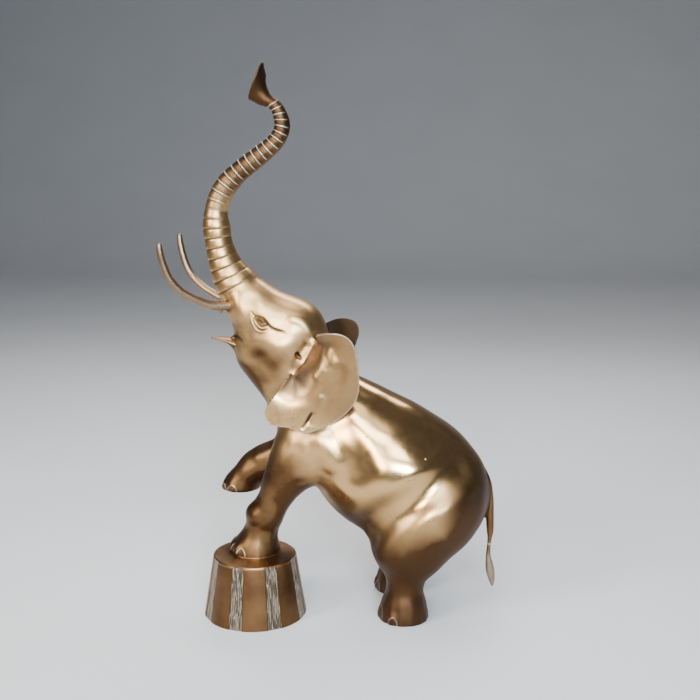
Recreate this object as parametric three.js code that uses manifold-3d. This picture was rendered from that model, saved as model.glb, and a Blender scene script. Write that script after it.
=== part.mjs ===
import * as THREE from 'three';
import { mergeVertices } from 'three/addons/utils/BufferGeometryUtils.js';
import Module from 'manifold-3d';

const wasm = await Module();
wasm.setup();

// A cast brass circus elephant: hind feet on the floor, left forefoot on a drum, trunk raised.
// Millimetres. x runs from trunk to tail, y from the left side to the right, z up.
// Here x = 0 is the drum's axis and y = 0 the elephant's middle plane.

// Fits and facet sizes
const fitGap = 0.3;
const skinCell = 8.7;
const skinLow = [-70, -56, -26];
const skinHigh = [189, 63, 275];
const skinRelaxRounds = 6;
const skinRelaxShare = 0.5;
const settleRounds = 10;
const limbSteps = 5;
const trunkSides = 12;
const tuskSides = 8;
const tailSides = 8;
const bumpSides = 8;
const bumpRows = 4;

// Drum: a low cone, chiselled in upright flutes between plain panels
const drum = {
  height: 45.8,
  topRadius: 30.3,
  footRadius: 37.7,
  side: -21.5,
  fluteCount: 8,
  fluteAngle: 16,
  firstFlute: 29.9,
  fluteFloor: 0.85,
  fluteDepth: 0.9,
  panelFacets: 3,
  topLip: 1.2,
};

// Limbs, root to tip. Each row is x, y, z, radius seen from the side, and width as a share of it.
const torso = [
  [51, 0, 135, 31.5, 1.1],
  [78.6, 0, 122.3, 44.4, 0.97],
  [95.6, 0, 109.4, 50.9, 0.91],
  [115, 0, 98.2, 49.9, 0.94],
  [126, 0, 89.5, 47, 0.98],
];
const neck = [
  [62, 0, 141, 35, 0.87],
  [42, 0, 161, 30.5, 0.86],
  [33, 0, 185, 25.5, 0.94],
  [30, 0, 206, 23.2, 1.06],
];
const jaw = [
  [35, 0, 160, 19.5, 1],
  [20, 0, 177, 22.2, 0.93],
  [9.7, 0, 195.2, 25.6, 0.9],
];
const face = [
  [24, 0, 211.5, 21, 1.1],
  [1.5, 0, 224.5, 20.5, 1.1],
  [-12.5, 0, 241, 15, 1],
  [-20, 0, 255, 10.8, 1],
];
const leftHaunch = [
  [123, -22, 83, 40, 0.64],
  [118, -24.5, 66, 31.8, 0.75],
  [114.5, -26, 57.6, 29, 0.79],
];
const leftForeleg = [
  [40, -15, 126, 26, 0.9],
  [23, -20, 103.3, 16.4, 1],
  [14, -19.5, 85, 12.6, 1],
  [8.4, -18, 75.5, 13, 1],
];
const rightForeleg = [
  [40, 15, 126, 26, 0.9],
  [22, 21, 107.4, 18.3, 0.95],
  [4, 22, 102, 15.2, 1],
  [-5, 22.5, 98, 13.6, 1],
];

// Lower legs and feet: x, y, z and radius of each level round
const leftHindFoot = [
  [113, -26.3, 46, 17],
  [111.2, -26.3, 28, 14],
  [110.7, -26.3, 22, 13.9],
  [110.3, -26.3, 13.5, 16.6],
  [110.3, -26.3, 7, 18],
  [110.3, -26.3, -9, 19],
];
const leftForefoot = [
  [9, -18.2, 80, 12.6],
  [6.2, -17.3, 69, 13.1],
  [4.3, -16.6, 63, 13.2],
  [1, -15.9, 56, 15.8],
  [-0.5, -15.4, 50, 18.2],
  [-0.6, -15.3, 37, 19.6],
];
const rightForefoot = [
  [-3, 22.4, 103, 12.2],
  [-9.5, 22.7, 96, 13.8],
  [-14.3, 23, 90, 14.8],
  [-16.2, 23.3, 85, 15],
  [-16, 23.5, 70, 14.6],
];
const rightHindShift = [-5, 1.7];
const raisedSoleHeight = 80.4;

// How widely each join is filleted
const neckBlend = 17;
const headBlend = 11;
const shoulderBlend = 5;
const haunchBlend = 12;
const ankleBlend = 5;

// Trunk edges in the middle plane, root to mouth: x, z under the trunk, x, z along its top
const trunkEdges = [
  [-22, 226, 9, 243],
  [-27, 235, 1.1, 250.5],
  [-31.9, 251.5, -9.3, 260.5],
  [-34.9, 269, -15.3, 273],
  [-36.7, 283, -16.8, 284.5],
  [-35.2, 296, -18.3, 294],
  [-31.2, 309, -15.8, 302.5],
  [-24.2, 320, -11.3, 310],
  [-14.7, 328.5, -4.8, 317.5],
  [-4.7, 336, 4.2, 324.5],
  [5.8, 343.5, 14.7, 333.5],
  [11.8, 348.5, 21.7, 341],
  [15.3, 354, 26.2, 350],
  [15.3, 359.5, 26.5, 359.5],
  [12.5, 366.5, 21, 371],
  [5, 369.5, 14.5, 376],
  [0.8, 371.7, 11.2, 381],
  [-0.8, 372.5, 9.9, 388],
  [-2.2, 373, 8.6, 400],
];
const trunkFlareRow = 14;
const ringCount = 27;
const ringGapRoot = 7.6;
const ringGapTip = 3.9;
const ringDepthRoot = 0.9;
const ringDepthTip = 1.2;
const ringEdgeShare = 0.2;
const ringLean = 0.5;
const mouthWidthShare = 0.68;
const mouthRim = 0.8;
const mouthDepth = 3;
const flareSections = 5;

// Lower lip, root to point: x, z, half-thickness, half-width
const lowerLip = [
  [2, 196.5, 8, 14],
  [-12, 198.6, 6, 10],
  [-19, 200.6, 3.6, 7.5],
  [-26, 202.2, 1.6, 5],
  [-32.6, 202.8, 0.5, 1.4],
];
const lipSides = 8;

// Tail, root to tuft: x, z, half-thickness, half-width
const tail = [
  [158, 118, 4, 4],
  [168.7, 100, 3.8, 3.6],
  [172.2, 86, 3.4, 3.2],
  [173.2, 72, 3.1, 2.8],
  [173.8, 59, 2.6, 2.4],
  [173.6, 53, 1.7, 1.6],
  [173, 45.5, 1.4, 1.4],
  [172.9, 39, 1.9, 1.7],
  [174.3, 29, 3.2, 2.2],
  [175.7, 21, 2.5, 1.7],
  [176.4, 15.3, 0.8, 0.6],
];

// Tusks: a curved rod in an upright plane, distance out from the root, height above it, radius
const tusk = [
  [-7, 0, 3.2],
  [0, 0, 3.2],
  [8, 1, 3.2],
  [16, 4.3, 3.1],
  [23.5, 8.3, 3],
  [31, 14, 2.9],
  [37, 22, 2.7],
  [40.8, 32, 2.5],
  [42.6, 40, 2.3],
  [43, 45.4, 1.7],
  [43, 47, 0.6],
];
const tuskRoots = [
  { name: 'tusk_left', side: -1, at: [-22.3, -13.5, 228.7] },
  { name: 'tusk_right', side: 1, at: [-20.8, 13.5, 229] },
];
const tuskSplay = 23.3;

// Ears: the outline in the side view, from the top of the root round the back to its foot
const earRootTop = [45.5, 206.5];
const earRootFoot = [34.5, 189.5];
const earOutline = [
  [47.5, 211],
  [56, 213.5],
  [65, 213.5],
  [72, 209.5],
  [76, 201],
  [77.7, 188],
  [78, 177],
  [75.3, 166.5],
  [68, 157],
  [58, 149.5],
  [45, 144],
  [38, 143.3],
  [29, 146.8],
  [21, 147.8],
  [15, 149.5],
  [11.5, 158],
  [17, 166],
  [25, 172.5],
  [29.5, 180],
  [32, 186],
];
const earThickness = 2.4;
const earColumns = 26;
const earRows = 3;
const earRootSide = 24;
const earSpread = 17;
const earSpreadReach = 14;
const earSlope = 0.07;
const earRuffle = 1;
const earRuffleReach = 42;
const earRuffleWaves = 5;
const earSunkRow = 6;
const rightEarPull = 9;
const rightEarDrop = 2;

// Eyes and toenails
const eye = { x: 7.2, z: 219.5, length: 5.6, height: 3.6, proud: 1.3 };
const nail = { halfWidth: 3.6, halfHeight: 5, proud: 1.2, sink: 0.5 };
const hindNails = [122, 184, 242];
const foreNails = [132, 164, 196, 228];
const raisedNails = [114, 148, 212, 246];

const brass = { color: 0xb98a4e, roughness: 0.28, metalness: 1 };
const brownBrass = { color: 0x7c5732, roughness: 0.38, metalness: 1 };
const tuskBrass = { color: 0x94765a, roughness: 0.42, metalness: 1 };

// A closed mesh becomes a solid that can be joined and cut
function solid(geometry) {
  const bare = geometry.clone();
  bare.deleteAttribute('normal');
  bare.deleteAttribute('uv');
  const merged = mergeVertices(bare, 1e-4);
  const vertProperties = new Float32Array(merged.attributes.position.array);
  const triVerts = new Uint32Array(merged.index.array);
  return new wasm.Manifold(new wasm.Mesh({ numProp: 3, vertProperties, triVerts }));
}

function geometryOf(body) {
  const mesh = body.getMesh();
  const geometry = new THREE.BufferGeometry();
  geometry.setAttribute('position', new THREE.BufferAttribute(mesh.vertProperties, 3));
  geometry.setIndex(new THREE.BufferAttribute(mesh.triVerts, 1));
  geometry.computeVertexNormals();
  return geometry;
}

// Signed volume tells which way the faces point, and they are turned outwards
function facingOut(points, faces) {
  let volume = 0;
  for (const [a, b, c] of faces) {
    volume += points[a].dot(points[b].clone().cross(points[c]));
  }
  const turned = volume < 0 ? faces.map(([a, b, c]) => [a, c, b]) : faces;
  const geometry = new THREE.BufferGeometry().setFromPoints(points);
  geometry.setIndex(turned.flat());
  return geometry;
}

// Rings of points joined side by side, with a flat fan at either end
function loft(rings) {
  const sides = rings[0].length;
  const points = rings.flat();
  const faces = [];
  for (let r = 0; r + 1 < rings.length; r += 1) {
    for (let s = 0; s < sides; s += 1) {
      const a = r * sides + s;
      const b = r * sides + ((s + 1) % sides);
      faces.push([a, b, b + sides]);
      faces.push([a, b + sides, a + sides]);
    }
  }
  const last = (rings.length - 1) * sides;
  const middle = (ring) => ring.reduce((sum, p) => sum.add(p), new THREE.Vector3()).divideScalar(sides);
  points.push(middle(rings[0]), middle(rings[rings.length - 1]));
  for (let s = 0; s < sides; s += 1) {
    const next = (s + 1) % sides;
    faces.push([points.length - 2, next, s]);
    faces.push([points.length - 1, last + s, last + next]);
  }
  return facingOut(points, faces);
}

// An oval ring in the plane of `across` and the y axis
function ovalRing(centre, across, halfAcross, halfWide, sides) {
  const ring = [];
  for (let s = 0; s < sides; s += 1) {
    const angle = ((s + 0.5) / sides) * 2 * Math.PI;
    const point = centre.clone().addScaledVector(across, halfAcross * Math.cos(angle));
    point.y += halfWide * Math.sin(angle);
    ring.push(point);
  }
  return ring;
}

// A rod along a line in the middle plane: rows are x, z, half-thickness, half-width
function planarRod(rows, sides) {
  const line = rows.map(([x, z]) => new THREE.Vector3(x, 0, z));
  const rings = rows.map(([, , thick, wide], i) => {
    const before = line[Math.max(i - 1, 0)];
    const after = line[Math.min(i + 1, line.length - 1)];
    const along = after.clone().sub(before).normalize();
    const across = new THREE.Vector3(along.z, 0, -along.x);
    return ovalRing(line[i], across, thick, wide, sides);
  });
  return loft(rings);
}

// Limb rows become a smooth chain of tapering lengths
function limb(rows) {
  const path = new THREE.CatmullRomCurve3(rows.map(([x, y, z]) => new THREE.Vector3(x, y, z)));
  const girth = new THREE.CatmullRomCurve3(rows.map(([, , , r, w]) => new THREE.Vector3(r, w, 0)));
  const steps = (rows.length - 1) * limbSteps;
  const balls = [];
  for (let i = 0; i <= steps; i += 1) {
    const size = girth.getPoint(i / steps);
    balls.push({ at: path.getPoint(i / steps), radius: size.x, width: size.y });
  }
  return balls;
}

const lengthStart = new THREE.Vector3();
const lengthAlong = new THREE.Vector3();

// How far a point lies outside a limb, negative inside
function outside(balls, point) {
  let nearest = Infinity;
  for (let i = 0; i + 1 < balls.length; i += 1) {
    lengthStart.subVectors(point, balls[i].at);
    lengthAlong.subVectors(balls[i + 1].at, balls[i].at);
    const share = THREE.MathUtils.clamp(lengthStart.dot(lengthAlong) / lengthAlong.lengthSq(), 0, 1);
    const radius = THREE.MathUtils.lerp(balls[i].radius, balls[i + 1].radius, share);
    const width = THREE.MathUtils.lerp(balls[i].width, balls[i + 1].width, share);
    lengthStart.addScaledVector(lengthAlong, -share);
    lengthStart.y /= width;
    nearest = Math.min(nearest, lengthStart.length() - radius);
  }
  return nearest;
}

// The smaller of two distances, with a fillet where they meet
function blended(a, b, fillet) {
  const overlap = Math.max(fillet - Math.abs(a - b), 0) / fillet;
  return Math.min(a, b) - (overlap * overlap * fillet) / 4;
}

// A standing column of level rounds, closed flat at both ends
function outsideColumn(rows, point) {
  const highest = rows[0][2];
  const lowest = rows[rows.length - 1][2];
  const height = THREE.MathUtils.clamp(point.z, lowest, highest);
  const below = Math.max(1, rows.findIndex(([, , z]) => z <= height));
  const [upper, lower] = [rows[below - 1], rows[below]];
  const share = (upper[2] - height) / (upper[2] - lower[2]);
  const [x, y, , radius] = upper.map((value, i) => THREE.MathUtils.lerp(value, lower[i], share));
  const aside = Math.hypot(point.x - x, point.y - y) - radius;
  return Math.max(aside, point.z - highest, lowest - point.z);
}

function mirrored(rows) {
  return rows.map(([x, y, ...rest]) => [x + rightHindShift[0], rightHindShift[1] - y, ...rest]);
}

const torsoLimb = limb(torso);
const joinedLimbs = [
  [limb(neck), neckBlend],
  [limb(jaw), headBlend],
  [limb(face), headBlend],
  [limb(leftForeleg), shoulderBlend],
  [limb(rightForeleg), shoulderBlend],
  [limb(leftHaunch), haunchBlend],
  [limb(mirrored(leftHaunch)), haunchBlend],
];
const joinedColumns = [leftHindFoot, mirrored(leftHindFoot), leftForefoot, rightForefoot];

function bodyField(point) {
  let distance = outside(torsoLimb, point);
  for (const [balls, fillet] of joinedLimbs) {
    distance = blended(distance, outside(balls, point), fillet);
  }
  for (const rows of joinedColumns) {
    distance = blended(distance, outsideColumn(rows, point), ankleBlend);
  }
  return distance;
}

const slopeStep = 0.05;
const probe = new THREE.Vector3();

function fieldSlope(point) {
  const slope = new THREE.Vector3();
  for (const axis of ['x', 'y', 'z']) {
    probe.copy(point);
    probe[axis] += slopeStep;
    const ahead = bodyField(probe);
    probe[axis] -= 2 * slopeStep;
    slope[axis] = (ahead - bodyField(probe)) / (2 * slopeStep);
  }
  return slope;
}

function ontoBody(point) {
  const slope = fieldSlope(point);
  return point.addScaledVector(slope, -bodyField(point) / slope.lengthSq());
}

// A cell face whose corners lie in and out by turns takes the other sign at its weakest corner
function settleFaces(values, stride, cells) {
  for (let k = 0; k < cells.z; k += 1) {
    for (let j = 0; j < cells.y; j += 1) {
      for (let i = 0; i < cells.x; i += 1) {
        const cell = i + j * stride[1] + k * stride[2];
        for (let axis = 0; axis < 3; axis += 1) {
          const u = stride[(axis + 1) % 3];
          const v = stride[(axis + 2) % 3];
          const round = [cell, cell + u, cell + u + v, cell + v];
          const inside = round.map((c) => values[c] < 0);
          const byTurns = inside[0] === inside[2] && inside[1] === inside[3] && inside[0] !== inside[1];
          if (!byTurns) continue;
          const weakest = round.reduce((a, b) => (Math.abs(values[a]) < Math.abs(values[b]) ? a : b));
          values[weakest] *= -1;
        }
      }
    }
  }
}

// The skin of the body: one point in each grid cell that the surface crosses, joined in quads
function skin(box) {
  const cells = box.getSize(new THREE.Vector3()).divideScalar(skinCell).ceil();
  const stride = [1, cells.x + 1, (cells.x + 1) * (cells.y + 1)];
  const values = new Float64Array(stride[2] * (cells.z + 1));
  const corner = (i, j, k) => new THREE.Vector3(i, j, k).multiplyScalar(skinCell).add(box.min);
  for (let k = 0; k <= cells.z; k += 1) {
    for (let j = 0; j <= cells.y; j += 1) {
      for (let i = 0; i <= cells.x; i += 1) {
        values[i + j * stride[1] + k * stride[2]] = bodyField(corner(i, j, k));
      }
    }
  }
  settleFaces(values, stride, cells);
  const points = [];
  const pointOf = new Map();
  const crossing = new THREE.Vector3();
  for (let k = 0; k < cells.z; k += 1) {
    for (let j = 0; j < cells.y; j += 1) {
      for (let i = 0; i < cells.x; i += 1) {
        const sum = new THREE.Vector3();
        let count = 0;
        for (let low = 0; low < 8; low += 1) {
          for (let bit = 1; bit < 8; bit *= 2) {
            const high = low | bit;
            if (high === low) continue;
            const from = [i + (low & 1), j + ((low >> 1) & 1), k + (low >> 2)];
            const to = [i + (high & 1), j + ((high >> 1) & 1), k + (high >> 2)];
            const a = values[from[0] + from[1] * stride[1] + from[2] * stride[2]];
            const b = values[to[0] + to[1] * stride[1] + to[2] * stride[2]];
            if (a < 0 === b < 0) continue;
            crossing.lerpVectors(corner(...from), corner(...to), a / (a - b));
            sum.add(crossing);
            count += 1;
          }
        }
        if (count === 0) continue;
        pointOf.set(i + j * stride[1] + k * stride[2], points.length);
        points.push(sum.divideScalar(count));
      }
    }
  }
  const quads = [];
  for (let axis = 0; axis < 3; axis += 1) {
    const u = stride[(axis + 1) % 3];
    const v = stride[(axis + 2) % 3];
    for (const cell of pointOf.keys()) {
      const a = values[cell];
      const b = values[cell + stride[axis]];
      if (a < 0 === b < 0) continue;
      const around = [cell, cell - u, cell - u - v, cell - v].map((c) => pointOf.get(c));
      quads.push(a < 0 ? around : around.reverse());
    }
  }
  return relaxed(points, quads);
}

// The skin's points are evened out and drawn back onto the surface, and each quad is halved
function relaxed(points, quads) {
  const neighbours = points.map(() => new Set());
  for (const quad of quads) {
    quad.forEach((p, i) => {
      neighbours[p].add(quad[(i + 1) % 4]);
      neighbours[p].add(quad[(i + 3) % 4]);
    });
  }
  let placed = points;
  for (let round = 0; round < skinRelaxRounds; round += 1) {
    placed = placed.map((point, i) => {
      const mean = new THREE.Vector3();
      neighbours[i].forEach((n) => mean.add(placed[n]));
      mean.divideScalar(neighbours[i].size);
      return ontoBody(ontoBody(point.clone().lerp(mean, skinRelaxShare)));
    });
  }
  const edgeOf = (a, b) => `${Math.min(a, b)} ${Math.max(a, b)}`;
  const drawn = new Set(quads.flatMap((quad) => quad.map((p, i) => edgeOf(p, quad[(i + 1) % 4]))));
  const faces = quads.flatMap(([a, b, c, d]) => {
    const short = placed[a].distanceTo(placed[c]) < placed[b].distanceTo(placed[d]);
    const first = drawn.has(edgeOf(b, d)) || (short && !drawn.has(edgeOf(a, c)));
    drawn.add(first ? edgeOf(a, c) : edgeOf(b, d));
    return first ? [[a, b, c], [a, c, d]] : [[a, b, d], [b, c, d]];
  });
  return facingOut(placed, faces);
}

// Trunk: the two edges carry oval rings, pinched at each groove and flaring to a dished mouth
function trunkGeometry() {
  const under = new THREE.CatmullRomCurve3(trunkEdges.map(([x, z]) => new THREE.Vector3(x, 0, z)));
  const top = new THREE.CatmullRomCurve3(trunkEdges.map(([, , x, z]) => new THREE.Vector3(x, 0, z)));
  const middle = new THREE.CatmullRomCurve3(
    trunkEdges.map(([ux, uz, tx, tz]) => new THREE.Vector3((ux + tx) / 2, 0, (uz + tz) / 2)),
  );
  const flareStart = trunkFlareRow / (trunkEdges.length - 1);
  const ring = (t, pinch, scale = 1, inward = 0) => {
    const low = under.getPoint(t);
    const high = top.getPoint(t);
    const across = high.clone().sub(low);
    const half = across.length() / 2;
    across.normalize();
    const along = new THREE.Vector3(-across.z, 0, across.x);
    const centre = low.lerp(high, 0.5).addScaledVector(across, pinch * ringLean);
    centre.addScaledVector(along, -inward);
    const flare = Math.max(0, (t - flareStart) / (1 - flareStart));
    const wide = half * THREE.MathUtils.lerp(1, mouthWidthShare, flare);
    return ovalRing(centre, across, (half - pinch) * scale, (wide - pinch) * scale, trunkSides);
  };
  const length = middle.getLength();
  const firstRing = new THREE.Vector3().subVectors(middle.getPoint(0), middle.points[1]).length();
  const rings = [ring(0, 0)];
  let along = firstRing;
  for (let i = 0; i < ringCount; i += 1) {
    const share = i / (ringCount - 1);
    const gap = THREE.MathUtils.lerp(ringGapRoot, ringGapTip, share);
    const depth = THREE.MathUtils.lerp(ringDepthRoot, ringDepthTip, share);
    for (const step of [-1, 0, 1]) {
      const t = middle.getUtoTmapping(0, Math.min(along + step * gap * ringEdgeShare, length));
      rings.push(ring(t, step === 0 ? depth : 0));
    }
    along += gap;
  }
  for (let i = 1; i <= flareSections; i += 1) {
    const t = THREE.MathUtils.lerp(flareStart, 1, i / flareSections);
    rings.push(ring(t, 0));
  }
  rings.push(ring(1, 0, mouthRim));
  rings.push(ring(1, 0, mouthRim * mouthRim, mouthDepth));
  return loft(rings);
}

// Ears: a thin sheet that leaves the head at its root, bows outwards and ruffles at its edge
function earSide(x, z) {
  const top = new THREE.Vector2(...earRootTop);
  const foot = new THREE.Vector2(...earRootFoot);
  const root = foot.clone().sub(top);
  const point = new THREE.Vector2(x, z);
  const share = THREE.MathUtils.clamp(point.clone().sub(top).dot(root) / root.lengthSq(), 0, 1);
  const reach = point.distanceTo(top.addScaledVector(root, share));
  const turn = Math.atan2(z - earRootFoot[1], x - earRootFoot[0]);
  const ruffle = earRuffle * (reach / earRuffleReach) ** 2 * Math.sin(earRuffleWaves * turn);
  const bow = earSpread * (1 - Math.exp(-reach / earSpreadReach));
  return earRootSide + bow + earSlope * reach + ruffle;
}

function earGeometry(side) {
  const backmost = Math.max(...earOutline.map(([x]) => x));
  const [pull, drop] = side > 0 ? [rightEarPull, rightEarDrop] : [0, 0];
  const outline = earOutline.map(([x, z]) => {
    const back = Math.max(0, (x - earRootTop[0]) / (backmost - earRootTop[0]));
    const low = THREE.MathUtils.clamp((earRootTop[1] - z) / earSpread, 0, 1);
    return new THREE.Vector3(x - pull * back ** 2 * low, 0, z - drop);
  });
  const edge = new THREE.CatmullRomCurve3(outline);
  const top = new THREE.Vector3(earRootTop[0], 0, earRootTop[1]);
  const foot = new THREE.Vector3(earRootFoot[0], 0, earRootFoot[1]);
  const faceOf = (offset) => {
    const points = [];
    for (let c = 0; c <= earColumns; c += 1) {
      const rim = edge.getPointAt(c / earColumns);
      const root = top.clone().lerp(foot, c / earColumns);
      for (let r = 0; r <= earRows; r += 1) {
        const spot = root.clone().lerp(rim, r / earRows);
        const here = earSide(spot.x, spot.z);
        const slopeX = earSide(spot.x + 1, spot.z) - here;
        const slopeZ = earSide(spot.x, spot.z + 1) - here;
        const normal = new THREE.Vector3(-slopeX, 1, -slopeZ).normalize();
        spot.y = here - (r === 0 ? earSunkRow : 0);
        spot.addScaledVector(normal, offset);
        spot.y *= side;
        points.push(spot);
      }
    }
    return points;
  };
  const points = [...faceOf(earThickness / 2), ...faceOf(-earThickness / 2)];
  const back = points.length / 2;
  const stride = earRows + 1;
  const faces = [];
  for (let c = 0; c < earColumns; c += 1) {
    for (let r = 0; r < earRows; r += 1) {
      const a = c * stride + r;
      faces.push([a, a + 1, a + stride + 1], [a, a + stride + 1, a + stride]);
      faces.push([back + a, back + a + stride + 1, back + a + 1]);
      faces.push([back + a, back + a + stride, back + a + stride + 1]);
    }
  }
  const border = [];
  for (let c = 0; c < earColumns; c += 1) {
    border.push(c * stride + earRows);
  }
  for (let r = earRows; r > 0; r -= 1) {
    border.push(earColumns * stride + r);
  }
  for (let c = earColumns; c > 0; c -= 1) {
    border.push(c * stride);
  }
  for (let r = 0; r < earRows; r += 1) {
    border.push(r);
  }
  border.forEach((a, i) => {
    const b = border[(i + 1) % border.length];
    faces.push([a, back + b, b], [a, back + a, back + b]);
  });
  return facingOut(points, faces);
}

// A half-sunk oval bump on the body, lying on the slope where it sits
function bump(at, halfSizes) {
  const geometry = new THREE.SphereGeometry(1, bumpSides, bumpRows);
  geometry.scale(...halfSizes);
  const slope = fieldSlope(at).normalize();
  const level = new THREE.Vector3(0, 0, 1).cross(slope).normalize();
  const up = slope.clone().cross(level);
  geometry.applyMatrix4(new THREE.Matrix4().makeBasis(level, up, slope).setPosition(at));
  return solid(geometry);
}

function eyeBump(side) {
  const at = new THREE.Vector3(eye.x, side * earRootSide, eye.z);
  for (let i = 0; i < settleRounds; i += 1) {
    at.y -= side * bodyField(at);
  }
  return bump(at, [eye.length, eye.height, eye.proud]);
}

// Toenails stand round the front of a foot, at angles from the tail end
function nailBumps(rows, sole, angles) {
  const [x, y, , radius] = rows[rows.length - 2];
  const height = sole + nail.halfHeight;
  return angles.map((angle) => {
    const turn = THREE.MathUtils.degToRad(angle);
    const at = new THREE.Vector3(x + radius * Math.cos(turn), y + radius * Math.sin(turn), height);
    for (let i = 0; i < settleRounds; i += 1) {
      ontoBody(at);
    }
    at.z = height;
    at.addScaledVector(fieldSlope(at).normalize(), -nail.sink);
    return bump(at, [nail.halfWidth, nail.halfHeight, nail.proud + nail.sink]);
  });
}

function boxBetween(low, high) {
  const size = high.clone().sub(low);
  const geometry = new THREE.BoxGeometry(size.x, size.y, size.z);
  geometry.translate(...low.clone().lerp(high, 0.5).toArray());
  return solid(geometry);
}

// A block under a foot, from below its lowest round up to the sole
function soleCut([x, y, z], halfWide, sole) {
  const low = new THREE.Vector3(x - halfWide, y - halfWide, z - halfWide);
  return boxBetween(low, new THREE.Vector3(x + halfWide, y + halfWide, sole));
}

// A tusk in its own upright plane, fattened where it cuts its socket
function tuskGeometry(extra) {
  const rows = tusk.map(([out, up, radius]) => [-out, up, radius + extra, radius + extra]);
  rows[0][0] += extra;
  return planarRod(rows, tuskSides);
}

function tuskPlace({ side, at }) {
  const place = new THREE.Object3D();
  place.position.set(...at);
  place.rotation.z = THREE.MathUtils.degToRad(-side * tuskSplay);
  place.updateMatrix();
  return place;
}

function elephantGeometry() {
  const bounds = new THREE.Box3(new THREE.Vector3(...skinLow), new THREE.Vector3(...skinHigh));
  const foreSole = drum.height + fitGap;
  const nails = [
    ...nailBumps(leftHindFoot, 0, hindNails),
    ...nailBumps(mirrored(leftHindFoot), 0, hindNails),
    ...nailBumps(leftForefoot, foreSole, foreNails),
    ...nailBumps(rightForefoot, raisedSoleHeight, raisedNails),
  ];
  const shapes = [
    solid(skin(bounds)),
    solid(trunkGeometry()),
    solid(planarRod(lowerLip, lipSides)),
    solid(planarRod(tail, tailSides)),
    solid(earGeometry(-1)),
    solid(earGeometry(1)),
    eyeBump(-1),
    eyeBump(1),
    ...nails,
  ];
  const floorCut = boxBetween(bounds.min, new THREE.Vector3(bounds.max.x, bounds.max.y, 0));
  const drumCut = soleCut([0, drum.side, 0], drum.footRadius, foreSole);
  const raisedFoot = rightForefoot[rightForefoot.length - 1];
  const raisedCut = soleCut(raisedFoot, raisedFoot[3] + nail.halfWidth, raisedSoleHeight);
  let body = wasm.Manifold.union(shapes).subtract(floorCut).subtract(drumCut).subtract(raisedCut);
  for (const root of tuskRoots) {
    const socket = tuskGeometry(fitGap);
    socket.applyMatrix4(tuskPlace(root).matrix);
    body = body.subtract(solid(socket));
  }
  return geometryOf(body);
}

// The drum's rim: plain panels at full radius, flutes cut in between
function drumRing(radius, depth, height) {
  const ring = [];
  const pitch = 360 / drum.fluteCount;
  const panel = pitch - drum.fluteAngle;
  const spot = (angle, reach) => {
    const turn = THREE.MathUtils.degToRad(angle - 90);
    ring.push(new THREE.Vector3(reach * Math.cos(turn), reach * Math.sin(turn), height));
  };
  for (let i = 0; i < drum.fluteCount; i += 1) {
    const middle = drum.firstFlute + i * pitch;
    const edge = drum.fluteAngle / 2;
    spot(middle - edge, radius);
    spot(middle - edge * drum.fluteFloor, radius - depth);
    spot(middle + edge * drum.fluteFloor, radius - depth);
    for (let facet = 0; facet < drum.panelFacets; facet += 1) {
      spot(middle + edge + (panel * facet) / drum.panelFacets, radius);
    }
  }
  return ring;
}

function drumGeometry() {
  const lipStart = drum.height - drum.topLip;
  const taper = (drum.footRadius - drum.topRadius) / drum.height;
  const radiusAt = (height) => drum.footRadius - taper * height;
  return loft([
    drumRing(radiusAt(0), drum.fluteDepth, 0),
    drumRing(radiusAt(lipStart), drum.fluteDepth, lipStart),
    drumRing(drum.topRadius, 0, drum.height - drum.topLip / 3),
    drumRing(drum.topRadius - drum.topLip / 2, 0, drum.height),
  ]);
}

function named(name, geometry, finish) {
  const mesh = new THREE.Mesh(geometry, new THREE.MeshStandardMaterial(finish));
  mesh.name = name;
  return mesh;
}

const doorstop = new THREE.Group();

doorstop.add(named('elephant', elephantGeometry(), brass));

const drumMesh = named('drum', drumGeometry(), brownBrass);
drumMesh.position.y = drum.side;
doorstop.add(drumMesh);

for (const root of tuskRoots) {
  const mesh = named(root.name, tuskGeometry(0), tuskBrass);
  const place = tuskPlace(root);
  mesh.position.copy(place.position);
  mesh.rotation.copy(place.rotation);
  doorstop.add(mesh);
}

// The part's origin is under the middle of its box, on the floor
const reach = new THREE.Box3().setFromObject(doorstop);
const middle = reach.getCenter(new THREE.Vector3());
doorstop.position.set(-middle.x, -middle.y, -reach.min.z);

export default doorstop;
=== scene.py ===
import math
import bpy
import numpy as np
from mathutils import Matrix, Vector, noise


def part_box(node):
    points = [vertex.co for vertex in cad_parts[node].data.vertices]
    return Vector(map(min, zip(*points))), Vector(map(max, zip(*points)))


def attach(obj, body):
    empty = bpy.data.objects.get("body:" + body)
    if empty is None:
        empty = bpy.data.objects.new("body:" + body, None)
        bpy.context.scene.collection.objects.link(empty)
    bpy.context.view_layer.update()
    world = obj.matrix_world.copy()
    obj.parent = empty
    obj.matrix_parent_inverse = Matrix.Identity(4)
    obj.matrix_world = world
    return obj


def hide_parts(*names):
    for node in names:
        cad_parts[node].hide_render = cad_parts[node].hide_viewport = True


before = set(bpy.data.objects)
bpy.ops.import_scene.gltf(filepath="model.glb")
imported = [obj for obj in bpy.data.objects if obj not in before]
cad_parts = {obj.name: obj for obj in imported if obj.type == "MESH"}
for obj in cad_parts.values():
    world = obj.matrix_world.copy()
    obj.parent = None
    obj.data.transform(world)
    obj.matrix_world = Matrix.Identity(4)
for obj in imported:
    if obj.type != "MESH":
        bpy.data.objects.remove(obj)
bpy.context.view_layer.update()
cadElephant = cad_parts["elephant"]
drumLow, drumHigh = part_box("drum")
drumAxis = ((drumLow[0] + drumHigh[0]) / 2, (drumLow[1] + drumHigh[1]) / 2)
drumSide = -21.5  # the drum's axis stands this far to the elephant's left, mm
print("frame loaded", [round(v * 1000, 1) for v in drumAxis])


# every size below is in millimetres from the drum's axis and the elephant's middle plane
def at(x, y, z):
    return Vector((drumAxis[0] + x / 1000, drumAxis[1] + (y - drumSide) / 1000, z / 1000))


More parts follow.
